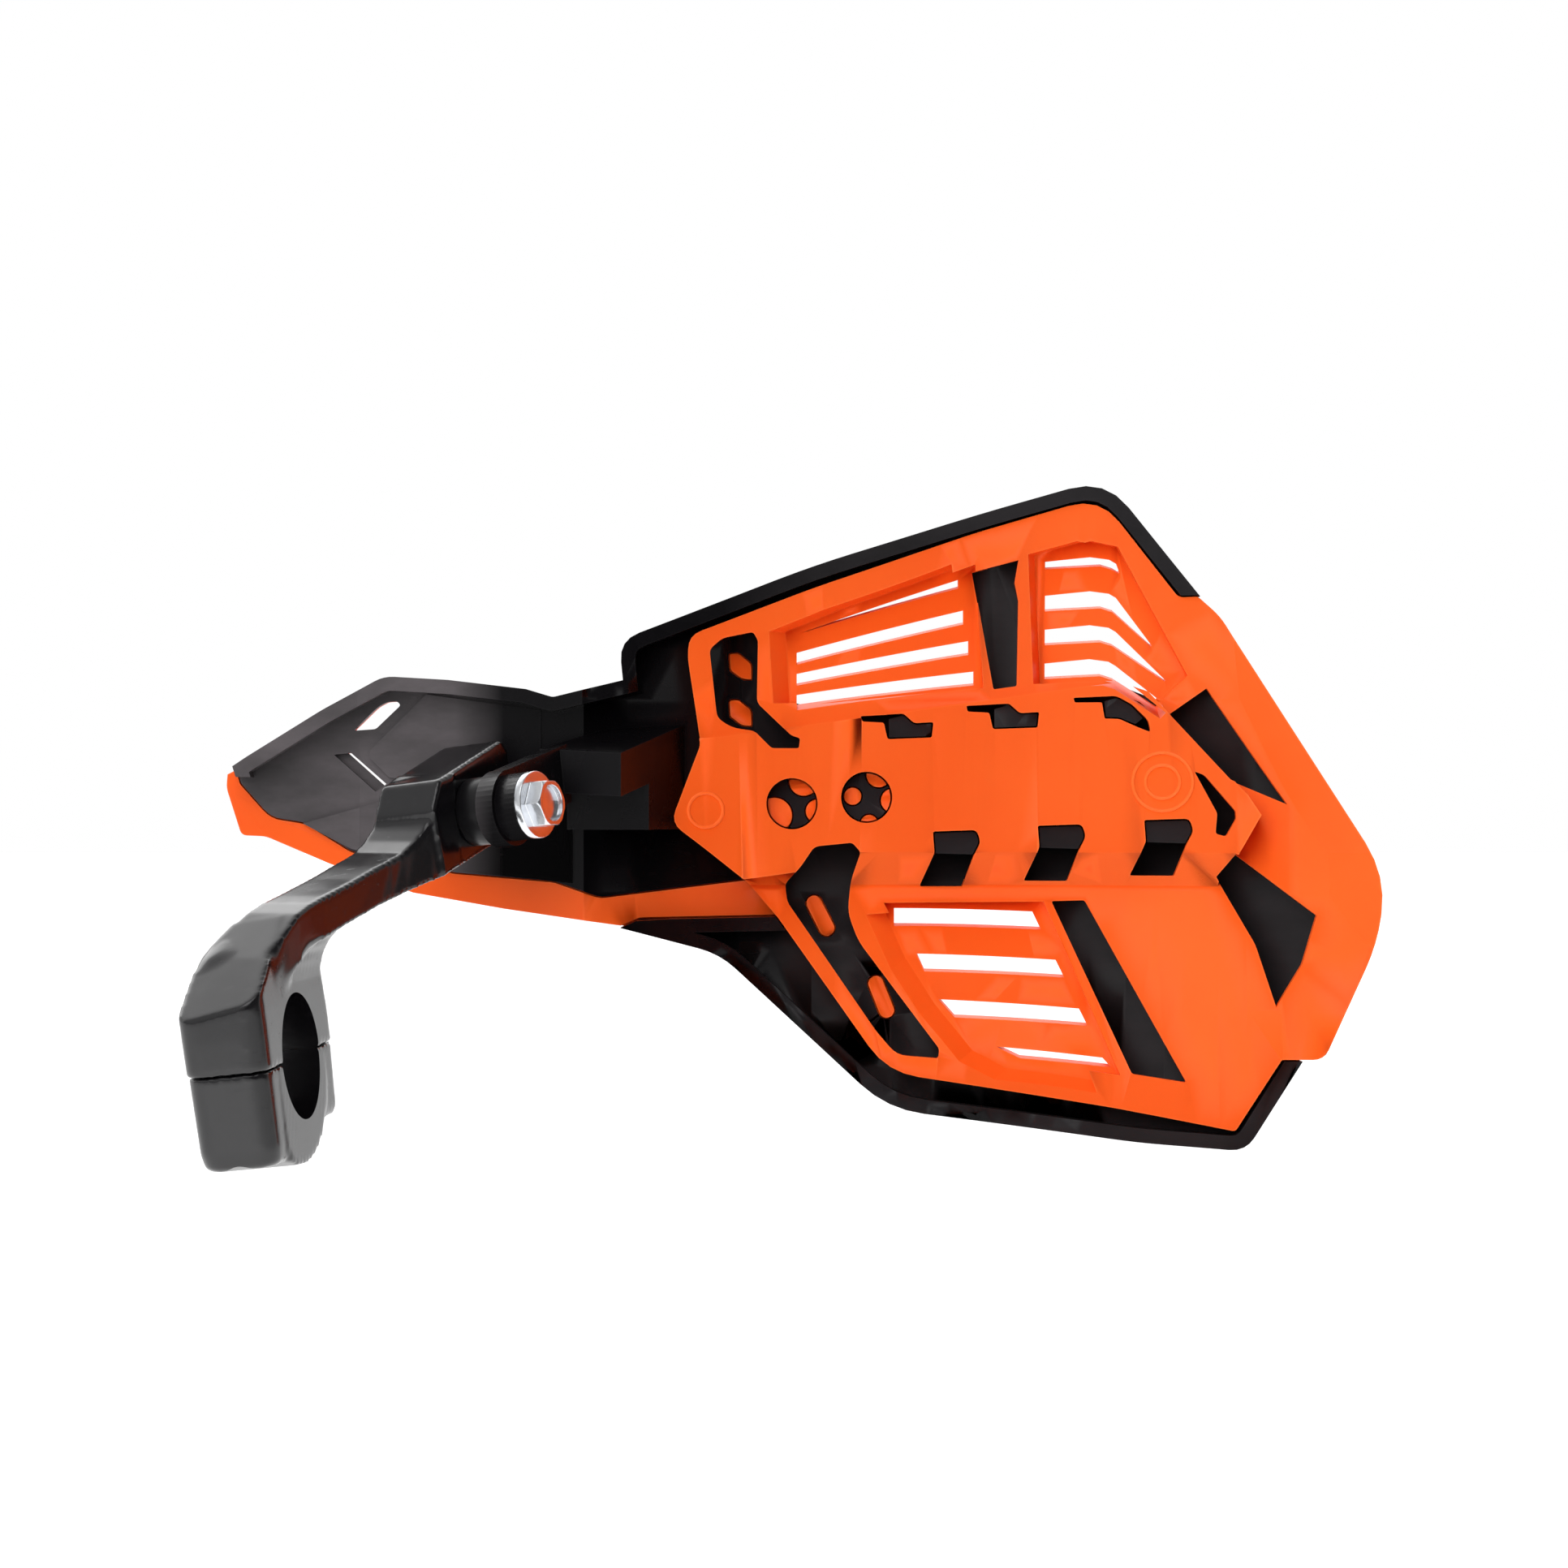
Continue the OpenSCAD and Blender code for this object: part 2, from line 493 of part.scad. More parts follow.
module inner_liner() {
    color(orange) difference() {
        union() {
            difference() {
                liner_form(0);
                liner_form(liner_wall);
                panel(shell_r - layer_gap, back_r + 5);
            }
            end_wrap();
        }
        through() polygon(rounded(window_hook));
        through() polygon(rounded(window_post));
        through() polygon(rounded(window_end_high));
        through() polygon(rounded(window_end_low));
        through() polygon(rounded(window_lower));
        through() polygon(rounded(window_foot));
        through() polygon(rounded(window_side));
        through() high_hooks() polygon(rounded(hook_high));
        through() polygon(rounded(hook_corner));
        through() low_hooks() polygon(rounded(hook_low));
        through() for (place = round_holes) translate(place) circle(d = round_hole_d);
        upper_gaps();
        outer_gaps();
        lower_gaps();
    }
}

// Rim by which the liner closes over the end of the shell
module end_wrap() {
    intersection() {
        panel(shell_r - liner_wall, shell_r + shell_wall);
        through() difference() {
            polygon(rounded(liner_outline));
            offset(delta = layer_gap) polygon(rounded(shell_outline));
            translate([-far, -far / 2]) square([far + along(wrap_x), far]);
        }
    }
}

module vents() {
    through() polygon(rounded(vent_upper));
    through() polygon(rounded(vent_outer));
    through() polygon(rounded(vent_lower));
}

module shell() {
    color(black) {
        difference() {
            union() {
                intersection() {
                    sheet(shell_r, shell_r + shell_wall);
                    through() polygon(rounded(shell_outline));
                }
                intersection() {
                    sheet(shell_r - lip_h, shell_r + shell_wall);
                    through() difference() {
                        polygon(rounded(shell_outline));
                        offset(delta = -lip_w) polygon(rounded(shell_outline));
                        offset(delta = layer_gap) polygon(rounded(liner_outline));
                        polygon(plain_edges);
                    }
                }
                intersection() {
                    sheet(shell_r - pad_h, shell_r + 1);
                    through() {
                        polygon(pad_upper);
                        polygon(pad_lower);
                    }
                }
                intersection() {
                    panel(plateau_r + 0.6, shell_r + 1);
                    through() {
                        high_hooks() offset(delta = -layer_gap) polygon(rounded(nose_high));
                        offset(delta = -layer_gap) polygon(rounded(nose_corner));
                        low_hooks() offset(delta = -layer_gap) polygon(rounded(nose_low));
                    }
                }
                intersection() {
                    panel(web_r, shell_r + 1);
                    hole_plugs();
                }
                strut();
            }
            vents();
            slots();
            webs();
            wing_openings();
            on_pivot() rotate([0, 90, 0]) cylinder(h = far, r = sleeve_d / 2 + slip, center = true);
        }
    }
}

// Openings of the shell that the front cover's pads fill, drawn in by an inset
module slots(inset = 0) {
    through() {
        for (drop = [0, slot_drop]) {
            translate([0, -drop]) offset(delta = -inset) polygon(rounded(slot_square));
        }
        for (ends = slot_ends) {
            hull() {
                for (end = ends) {
                    translate(end) circle(d = slot_w - 2 * inset, $fn = 24);
                }
            }
        }
    }
}
module webs(inset = 0) {
    through() {
        translate(round_holes[0]) for (o = web_inner) translate(xz(o)) circle(o[2] - inset, $fn = 32);
        translate(round_holes[1]) for (o = web_outer) translate(xz(o)) circle(o[2] - inset, $fn = 32);
    }
}
module hole_plugs() {
    through() for (place = round_holes) translate(place) circle(d = round_hole_d - 2 * layer_gap);
}

module wing_openings() {
    through() polygon(rounded(wing_cut));
    through() polygon(rounded(wing_slit));
    intersection() {
        through() polygon(rounded(wing_dip));
        sheet(shell_r - lip_h, shell_r + dip_depth);
    }
}

// Strut of the shell that ends in the ear, on which the shield turns
module strut() {
    intersection() {
        translate([0, 0, lean_bottom]) linear_extrude(lean_top - lean_bottom) polygon(strut_plan);
        rotate([90, 0, 90]) linear_extrude(2 * wing_x) polygon(strut_side);
    }
    on_pivot() {
        translate([ear_s0, 0, 0]) rotate([90, 0, 90]) linear_extrude(ear_t) {
            circle(d = ear_d);
            polygon(concat([ear_join_r * [-sin(ear_rise), cos(ear_rise)]], ear_plate,
                [ear_join_r * [sin(ear_drop), -cos(ear_drop)]]));
        }
        translate([ear_s0, 0, 0]) rotate([0, 90, 0]) cylinder(h = ear_t + ear_boss_h, d = ear_boss_d);
    }
}

module front_cover() {
    color(orange) difference() {
        intersection() {
            union() {
                sheet(cover_r, back_r);
                intersection() {
                    sheet(shell_r + foot_step, back_r);
                    through() difference() {
                        polygon(rounded(cover_outline));
                        offset(delta = layer_gap) polygon(rounded(shell_outline));
                    }
                }
                intersection() {
                    panel(shell_r + layer_gap, cover_r + over);
                    slots(layer_gap);
                }
                intersection() {
                    panel(web_r + layer_gap, cover_r + over);
                    hole_plugs();
                    webs(layer_gap);
                }
            }
            through() polygon(rounded(cover_outline));
        }
        vents();
        wing_openings();
        through() polygon(rounded(wing_dip));
    }
}

// Frame of the pivot: X along the bolt, Y forward along the arm, Z up
module on_arm() {
    rotate(arm_turn) children();
}
module on_pivot() {
    on_arm() translate([0, pivot_reach, pivot_rise]) rotate([0, -arm_tip - pivot_tip, 0]) children();
}
module on_clamp() {
    rotate(clamp_turn) children();
}

// Plan of both clamp halves, with round ends
module clamp_plan() {
    round_y = clamp_y - clamp_w / 2;
    for (side = [-1, 1]) {
        translate([0, side * round_y, 0]) cylinder(h = far, d = clamp_w, center = true);
    }
    cube([clamp_w, 2 * round_y, far], center = true);
}

// A side profile drawn in Y and Z, carried across by a width
module across(w) {
    translate([-w / 2, 0, 0]) rotate([90, 0, 90]) linear_extrude(w) children();
}

module bar() {
    rotate([0, 90, 0]) cylinder(h = far, r = bar_r, center = true);
}

module arm() {
    color(black) difference() {
        union() {
            on_clamp() intersection() {
                across(clamp_w) polygon(rounded(concat(
                    [[-clamp_y, split_gap / 2, 0], [-clamp_y, boss_rear_h, 0.8]], from_ring(neck_profile),
                    [[clamp_y - 2.5, boss_front_h, 1], [clamp_y, boss_front_h - 9, 1],
                    [clamp_y, split_gap / 2, 0]])));
                clamp_plan();
            }
            on_arm() intersection() {
                across(clamp_w) polygon(rounded(concat(from_ring(beam_start_high), from_pivot(beam_end),
                    from_ring(beam_start_low))));
                linear_extrude(far) polygon(concat([for (p = beam_plan) [-p[1], p[0]]],
                    [for (p = reversed(beam_plan)) [p[1], p[0]]]));
            }
            on_pivot() across(end_block_w) polygon(rounded(block_profile));
        }
        on_clamp() {
            bar();
            for (side = [-1, 1]) {
                translate([0, side * screw_y, -over]) cylinder(h = insert_h + 2 * over, r = insert_r + slip);
            }
        }
        on_pivot() {
            rotate([0, 90, 0]) cylinder(h = far, r = bore_r, center = true);
            translate([nut_s0 - nut_recess - over, 0, 0]) rotate([0, 90, 0])
                cylinder(h = nut_h + nut_recess + over, r = nut_hole_r, $fn = 6);
        }
    }
}

module clamp_cap() {
    color(black) on_clamp() difference() {
        intersection() {
            union() {
                rotate([0, 90, 0]) cylinder(h = clamp_w, r = ring_r, center = true);
                translate([-clamp_w / 2, -clamp_y, -cap_rear_h])
                    cube([clamp_w, clamp_y - cap_boss_y, cap_rear_h]);
                translate([-clamp_w / 2, cap_boss_y, -cap_front_h])
                    cube([clamp_w, clamp_y - cap_boss_y, cap_front_h]);
            }
            clamp_plan();
            translate([-far / 2, -far / 2, -far - split_gap / 2]) cube(far);
        }
        bar();
        for (side = [-1, 1]) {
            translate([0, side * screw_y, 0]) cylinder(h = far, r = screw_hole_r, center = true);
            translate([0, side * screw_y, -far - clamp_seat_z]) cylinder(h = far, r = head_hole_r);
        }
    }
}

module clamp_screw(side) {
    color("silver") on_clamp() translate([0, side * screw_y, -clamp_seat_z]) difference() {
        union() {
            translate([0, 0, -clamp_head_h]) cylinder(h = clamp_head_h, d = clamp_head_d);
            cylinder(h = clamp_seat_z + insert_h, d = clamp_screw_d);
        }
        translate([0, 0, -clamp_head_h - over])
            cylinder(h = socket_h + over, r = socket_af / 2 / cos(30), $fn = 6);
    }
}

module clamp_insert(side) {
    color("goldenrod") on_clamp() translate([0, side * screw_y, split_gap / 2]) difference() {
        cylinder(h = insert_h, r = insert_r);
        translate([0, 0, -over]) cylinder(h = insert_h + 2 * over, d = clamp_screw_d + 2 * slip);
    }
}

module pivot_bolt() {
    color("silver") on_pivot() rotate([0, 90, 0]) {
        translate([0, 0, nut_s0]) cylinder(h = head_s0 - nut_s0, d = pivot_d);
        translate([0, 0, head_s0]) cylinder(h = flange_h, d = flange_d);
        translate([0, 0, head_s0 + flange_h]) difference() {
            intersection() {
                rotate(30) cylinder(h = head_h, r = head_r, $fn = 6);
                cylinder(h = head_h, r1 = head_r + head_h - head_chamfer, r2 = head_r - head_chamfer);
            }
            translate([0, 0, head_h - dish_h]) cylinder(h = dish_h + over, d = dish_d);
        }
    }
}

// A plain ring on the pivot bolt, with its near face at a place along the bolt
module ring_on_bolt(s, h, d, sides = 72) {
    on_pivot() translate([s, 0, 0]) rotate([0, 90, 0]) difference() {
        cylinder(h = h, d = d, $fn = sides);
        translate([0, 0, -over]) cylinder(h = h + 2 * over, r = bore_r);
    }
}

module pivot_nut() {
    color("silver") ring_on_bolt(nut_s0, nut_h, nut_af / cos(30), 6);
}

module pivot_spacer() {
    color("black") ring_on_bolt(arm_face, spacer_h, spacer_d);
}

module pivot_sleeve() {
    color("silver") ring_on_bolt(ear_s0 - slip, head_s0 - ear_s0 + slip, sleeve_d);
}

shell();
inner_liner();
front_cover();
arm();
clamp_cap();
clamp_screw(1);  // clamp_screw_front
clamp_screw(-1);  // clamp_screw_rear
clamp_insert(1);  // clamp_insert_front
clamp_insert(-1);  // clamp_insert_rear
pivot_bolt();
pivot_nut();
pivot_spacer();
pivot_sleeve();
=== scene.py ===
import math

import bmesh
import bpy
from mathutils import Matrix, Vector


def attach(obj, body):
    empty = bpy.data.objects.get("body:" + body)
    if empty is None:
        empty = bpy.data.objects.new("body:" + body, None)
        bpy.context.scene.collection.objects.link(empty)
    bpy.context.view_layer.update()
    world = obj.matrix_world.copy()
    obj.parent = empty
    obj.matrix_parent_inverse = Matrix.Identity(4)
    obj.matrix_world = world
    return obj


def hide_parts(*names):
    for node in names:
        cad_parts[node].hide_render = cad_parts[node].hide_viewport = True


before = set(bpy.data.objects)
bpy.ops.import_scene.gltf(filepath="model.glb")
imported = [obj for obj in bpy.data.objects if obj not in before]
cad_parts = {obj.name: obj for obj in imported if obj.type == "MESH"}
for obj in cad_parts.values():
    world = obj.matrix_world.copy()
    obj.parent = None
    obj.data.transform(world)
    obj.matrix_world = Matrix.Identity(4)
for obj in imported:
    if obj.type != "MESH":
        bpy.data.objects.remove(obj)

scene = bpy.context.scene
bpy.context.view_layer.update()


# Camera: the photograph's own viewpoint, level and straight ahead
camera_data = bpy.data.cameras.new("camera")
camera = bpy.data.objects.new("camera", camera_data)
scene.collection.objects.link(camera)
camera.location = (0.0916, -0.900, 0.0482)
camera.rotation_euler = (math.radians(90), 0, 0)
camera_data.lens = 118.23
camera_data.sensor_width = 36
camera_data.clip_start = 0.05
camera_data.clip_end = 60
scene.camera = camera
scene.view_settings.view_transform = "Standard"


# Noise patterns: scale, detail, roughness and stretch along X, Y and Z
MOTTLE = (28, 4)
FLOW = (60, 3, 0.6, (1.0, 1.0, 0.25))
SCRATCH = (900, 2, 0.5, (0.06, 1.0, 1.0))
SHEEN_CLOUD = (34, 5, 0.6, (1.0, 1.0, 2.2))
MOULD_GRAIN = (2600, 2)
MOULD_RIPPLE = (120, 3)
PLATE_CLOUD = (260, 4)
PLATE_MARKS = (1400, 3)
PLATE_GRAIN = (3200, 2)
FLOOR_CLOUD = (40, 2)

# Plastic: what each pattern adds to the roughness, and how high it stands in the bump
FLOW_ROUGHNESS, SCRATCH_ROUGHNESS, SHEEN_ROUGHNESS = 0.10, 0.08, 0.20
GRAIN_HEIGHT, RIPPLE_HEIGHT = 0.55, 1.6
MOULD_BUMP = 0.00006
# The wing's painted sheen, a paler grey that stands in for reflected room light, between two
# values of X and two shares
WING_SHEEN = (0.080, 0.098, 0.0, 0.14)
# How far red, green and blue light spread inside the plastic, and the depth in metres
GLOW_COLOURS, GLOW_DEPTH = (1.0, 0.35, 0.12), 0.0012

# Plated metal: its edge radius, its bump and what the marks add to the roughness
PLATE_EDGE = 0.00035
PLATE_STRENGTH, PLATE_BUMP = 0.25, 0.00004
MARKS_ROUGHNESS = 0.14

EDGE_SAMPLES = 6


class Graph:
    """A node tree with short calls for its nodes and links."""

    def __init__(self, tree):
        self.tree = tree
        tree.nodes.clear()

    def add(self, kind, **settings):
        node = self.tree.nodes.new(kind)
        for key, value in settings.items():
            setattr(node, key, value)
        return node

    def put(self, socket, value):
        """Links an output to the socket, or writes a number or a colour into it."""
        if isinstance(value, bpy.types.NodeSocket):
            self.tree.links.new(value, socket)
        else:
            socket.default_value = value

    def maths(self, operation, a, b):
        node = self.add("ShaderNodeMath", operation=operation)
        for socket, value in zip(node.inputs, (a, b)):
            self.put(socket, value)
        return node.outputs[0]

    def spread(self, value, low, high, to_low=0.0, to_high=1.0):
        """Takes low to high into to_low to to_high, and holds both ends."""
        node = self.add("ShaderNodeMapRange")
        self.put(node.inputs["Value"], value)
        ends = {"From Min": low, "From Max": high, "To Min": to_low, "To Max": to_high}
        for key, number in ends.items():
            self.put(node.inputs[key], number)
        return node.outputs[0]

    def noise(self, place, scale, detail, roughness=0.5, stretch=None):
        if stretch:
            mapping = self.add("ShaderNodeMapping")
            self.put(mapping.inputs["Vector"], place)
            self.put(mapping.inputs["Scale"], stretch)
            place = mapping.outputs["Vector"]
        node = self.add("ShaderNodeTexNoise")
        values = {"Vector": place, "Scale": scale, "Detail": detail, "Roughness": roughness}
        for key, value in values.items():
            self.put(node.inputs[key], value)
        return node.outputs["Fac"]

    def mix(self, factor, a, b):
        """Mixes two colours; the node has them at inputs 6 and 7 and output 2."""
        node = self.add("ShaderNodeMix", data_type="RGBA")
        self.put(node.inputs["Factor"], factor)
        for index, value in ((6, a), (7, b)):
            self.put(node.inputs[index], (*value, 1.0) if isinstance(value, tuple) else value)
        return node.outputs[2]

    def dot(self, a, b):
        node = self.add("ShaderNodeVectorMath", operation="DOT_PRODUCT")
        self.put(node.inputs[0], a)
        self.put(node.inputs[1], b)
        return node.outputs["Value"]

    def round_edge(self, radius):
        node = self.add("ShaderNodeBevel", samples=EDGE_SAMPLES)
        self.put(node.inputs["Radius"], radius)
        return node.outputs[0]

    def bump(self, height, strength, distance):
        node = self.add("ShaderNodeBump")
        for key, value in {"Height": height, "Strength": strength, "Distance": distance}.items():
            self.put(node.inputs[key], value)
        return node

    def close(self, shader, kind="ShaderNodeOutputMaterial"):
        self.put(self.add(kind).inputs["Surface"], shader.outputs[0])


def new_surface(name):
    """A material with its graph, its object coordinates and its Principled shader."""
    material = bpy.data.materials.new(name)
    material.use_nodes = True
    g = Graph(material.node_tree)
    place = g.add("ShaderNodeTexCoord").outputs["Object"]
    return material, g, place, g.add("ShaderNodeBsdfPrincipled")


def moulded(name, base, deep, roughness, specular, grain, pale_edges=None, painted_sheen=None, glow=0.0):
    """Moulded plastic: a soft mottle, a fine grain and faint scuffs.

    pale_edges is the radius, colour and strength of paler edges. painted_sheen is a painted sheen
    between two values of X, a paler grey for reflected room light, with its thin and its thick
    colour. glow is the weight of light inside the plastic.
    """
    material, g, place, shader = new_surface(name)
    colour = g.mix(g.spread(g.noise(place, *MOTTLE), 0.35, 0.7), base, deep)
    if pale_edges:
        # Paler colour along edges, where the rounded-edge normal turns away from the face's own
        # normal
        radius, pale, strength = pale_edges
        normal = g.add("ShaderNodeNewGeometry").outputs["Normal"]
        edge = g.spread(g.dot(g.round_edge(radius), normal), 0.99, 0.80)
        colour = g.mix(g.maths("MULTIPLY", edge, strength), colour, pale)
    flow = g.spread(g.noise(place, *FLOW), 0.45, 0.75)
    scratch = g.spread(g.noise(place, *SCRATCH), 0.62, 0.72)
    rough = g.maths("ADD", g.maths("MULTIPLY", flow, FLOW_ROUGHNESS),
                    g.maths("MULTIPLY", scratch, SCRATCH_ROUGHNESS))
    rough = g.maths("ADD", rough, roughness)
    if painted_sheen:
        start, end, thin, thick = painted_sheen
        # Painted sheen: the plastic is made a paler, rougher grey below one value of X and beyond
        # another, standing in for the bright room reflected there
        axes = g.add("ShaderNodeSeparateXYZ")
        g.put(axes.inputs[0], place)
        sheen_mask = g.maths("ADD", g.spread(axes.outputs["X"], start, end),
                       g.spread(axes.outputs["X"], *WING_SHEEN))
        cloud = g.spread(g.noise(place, *SHEEN_CLOUD), 0.33, 0.60)
        colour = g.mix(sheen_mask, colour, g.mix(cloud, thin, thick))
        rough = g.maths("ADD", rough, g.maths("MULTIPLY", sheen_mask, SHEEN_ROUGHNESS))
    height = g.maths("ADD", g.maths("MULTIPLY", g.noise(place, *MOULD_GRAIN), GRAIN_HEIGHT),
                     g.maths("MULTIPLY", g.noise(place, *MOULD_RIPPLE), RIPPLE_HEIGHT))
    g.put(shader.inputs["Base Color"], colour)
    g.put(shader.inputs["Roughness"], rough)
    g.put(shader.inputs["Specular IOR Level"], specular)
    g.put(shader.inputs["Normal"], g.bump(height, grain, MOULD_BUMP).outputs[0])
    if glow:
        g.put(shader.inputs["Subsurface Weight"], glow)
        g.put(shader.inputs["Subsurface Radius"], GLOW_COLOURS)
        g.put(shader.inputs["Subsurface Scale"], GLOW_DEPTH)
    g.close(shader)
    return material


def plated(name, base, dull, roughness):
    """Bright metal with turning marks, a slight cloud and softened edges."""
    material, g, place, shader = new_surface(name)
    cloud = g.spread(g.noise(place, *PLATE_CLOUD), 0.35, 0.7)
    marks = g.maths("MULTIPLY", g.noise(place, *PLATE_MARKS), MARKS_ROUGHNESS)
    bump = g.bump(g.noise(place, *PLATE_GRAIN), PLATE_STRENGTH, PLATE_BUMP)
    g.put(bump.inputs["Normal"], g.round_edge(PLATE_EDGE))
    g.put(shader.inputs["Metallic"], 1.0)
    g.put(shader.inputs["Base Color"], g.mix(cloud, base, dull))
    g.put(shader.inputs["Roughness"], g.maths("ADD", marks, roughness))
    g.put(shader.inputs["Normal"], bump.outputs[0])
    g.close(shader)
    return material


orange = moulded("orange_moulding", (0.95, 0.118, 0.012), (0.90, 0.098, 0.008),
                 roughness=0.40, specular=0.22, grain=0.22,
                 pale_edges=(0.0006, (1.0, 0.18, 0.035), 0.6), glow=0.10)
# The shell's paler grey on the wing and the outer frame is a painted sheen for reflected room
# light
black_shell = moulded("black_moulding", (0.0030, 0.0026, 0.0032), (0.0042, 0.0037, 0.0044),
                      roughness=0.26, specular=0.14, grain=0.12,
                      pale_edges=(0.0005, (0.012, 0.0115, 0.0125), 0.5),
                      painted_sheen=(0.039, 0.030, (0.060, 0.055, 0.057), (0.108, 0.096, 0.101)))
black_arm = moulded("black_arm", (0.0032, 0.0028, 0.0036), (0.0045, 0.0040, 0.0050),
                    roughness=0.17, specular=0.58, grain=0.05)
satin_spacer = moulded("satin_spacer", (0.0030, 0.0027, 0.0033), (0.0040, 0.0036, 0.0042),
                       roughness=0.34, specular=0.25, grain=0.20)
zinc = plated("zinc_plate", (0.78, 0.80, 0.83), (0.62, 0.64, 0.68), 0.16)
brass = plated("turned_brass", (0.80, 0.58, 0.25), (0.62, 0.42, 0.16), 0.25)

finishes = {
    "shell": black_shell, "inner_liner": orange, "front_cover": orange, "arm": black_arm,
    "clamp_cap": black_arm, "clamp_screw_front": zinc, "clamp_screw_rear": zinc,
    "clamp_insert_front": brass, "clamp_insert_rear": brass, "pivot_bolt": zinc,
    "pivot_nut": zinc, "pivot_spacer": satin_spacer, "pivot_sleeve": zinc,
}
for name, finish in finishes.items():
    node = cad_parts[name]
    node.data.materials.clear()
    node.data.materials.append(finish)


# Mouldings of the arm and cap: closed bodies in millimetres, joined, softened and then bored
def turned(x, y, z, at=(0, 0, 0)):
    """Where a body's own frame lies: turned about X, then Y, then Z, and moved."""
    turn = Matrix.Rotation(math.radians(z), 4, "Z") @ Matrix.Rotation(math.radians(y), 4, "Y")
    return Matrix.Translation(at) @ turn @ Matrix.Rotation(math.radians(x), 4, "X")


PIVOT = (29.406, 42.028, 42.367)
on_clamp = turned(5, -6, -11.5)
on_beam = turned(0, 0, -33)
on_pivot = turned(0, -6, -30, PIVOT)

# Holes: radius, start and end along their axis. The screws stand front and rear of the bar.
BAR_BORE = (11.1, -14, 14)
INSERT_SEAT = (3.55, -1.5, 7.8)
SCREW_SHAFT = (2.75, -30, 5)
SCREW_HEAD = (4.45, -30, -6.4)
PIVOT_BORE = (3.05, -12, 12)
NUT_POCKET = (5.92, -9, -1.3)
SCREW_PLACES = (-15.35, 15.35)

# Half the gap at the clamp's split, X of the beam's middle, half widths of the block and the cap
HALF_GAP = 0.05
BEAM_MIDDLE = 1.77
BLOCK_HALF = 6.5
CAP_HALF = 7.45

# Level sections up the clamp: half width, rear, front, rear radius, front radius and Z
COLUMN_ROWS = (
    (7.6, 21.3, 21.4, 3.8, 3.2, HALF_GAP), (7.7, 21.4, 21.1, 3.8, 3.2, 6.0),
    (7.7, 21.4, 20.5, 3.6, 3.2, 10.5), (7.5, 21.4, 20.5, 3.6, 3.2, 16.0),
    (6.9, 21.4, 21.0, 3.6, 3.2, 26.0))
CAP_REAR_ROWS = (
    (5.9, 19.0, 14.0, 3.2, 2.0, -16.6), (6.8, 19.9, 14.0, 3.6, 2.0, -15.8),
    (7.2, 20.5, 14.0, 3.8, 2.0, -13.5), (7.4, 21.1, 14.0, 4.0, 2.0, -HALF_GAP))
CAP_FRONT_ROWS = (
    (6.6, 14.0, 20.0, 2.0, 2.8, -12.8), (7.2, 14.0, 20.9, 2.0, 3.2, -11.4),
    (7.45, 14.0, 21.4, 2.0, 3.2, -HALF_GAP))

# Upright sections along the beam: Y, top, foot, half width and how far the foot leans outboard
BEAM_ROWS = (
    (-9.18, 18.1, 12.0, 7.1), (-4.0, 21.8, 13.0, 6.7), (0.0, 24.7, 15.0, 6.2),
    (1.3, 25.6, 16.5, 6.0), (5.1, 27.2, 19.0, 5.7), (9.2, 28.5, 20.9, 5.5),
    (12.5, 29.5, 22.2, 5.5), (18.3, 31.3, 24.2, 5.5), (24.3, 33.4, 26.3, 5.5, 0.2),
    (28.0, 34.6, 27.5, 5.6, 0.5), (31.5, 35.8, 28.7, 5.8, 0.8), (34.8, 37.8, 29.7, 6.0, 1.1),
    (37.4, 40.0, 30.5, 6.2, 1.3), (39.3, 42.4, 31.0, 6.3, 1.4), (41.0, 44.8, 31.5, 6.4, 1.5),
    (43.0, 48.4, 32.3, 6.4, 1.55), (46.0, 50.0, 33.5, 6.4, 1.5))

# The neck's outline on the clamp and under the beam, and its share of the way at each Z
NECK_FOOT = ((-7.2, -10, 12), (7.4, -10, 12), (7.4, 17.5, 12), (-6.5, 17.5, 12))
NECK_TOP = ((-3.6, 1, 23), (7.2, 1, 23), (7.2, 14, 23), (-3.6, 14, 23))
NECK_ROWS = ((0.0, 12.5), (0.06, 15.8), (0.22, 18.4), (0.5, 20.6), (0.8, 22.0), (1.0, 23.5))

# Side outlines in Y and Z of the end block and of the cap's ring
BLOCK_OUTLINE = (
    (-13.1, 0.4), (-10.1, 5.9), (11.5, 13.4), (13.5, 11.4), (13.5, -2.6), (11.9, -4.6),
    (5.6, -6.1), (-11.1, -11.6))
RING_OUTLINE = (
    (-13.5, -HALF_GAP), (-13.5, -14.5), (-11.5, -16.8), (-8.3, -18.0), (-3.4, -18.4),
    (1.0, -17.8), (4.0, -16.9), (6.5, -15.6), (9.7, -13.2), (12.5, -10.0), (14.0, -6.0),
    (14.0, -HALF_GAP))

# Folds of the neck that are blended more: centre and reach
NECK_FOLDS = (((4.2, -8.1, 15.0), 6.0), ((9.5, 0.0, 20.0), 4.0), ((-7.5, -6.0, 17.6), 4.5))

# Grid of the joined moulding in metres, share and rounds of smoothing, angle of a sharp edge
VOXEL = 0.0004
SMOOTHING, SOFT_ROUNDS, FOLD_ROUNDS = 0.5, 12, 120
SHARP_ANGLE = 40


def plane(place, point, normal):
    """A trimming plane by a point and an outward normal."""
    return place @ Vector(point), place.to_3x3() @ Vector(normal)


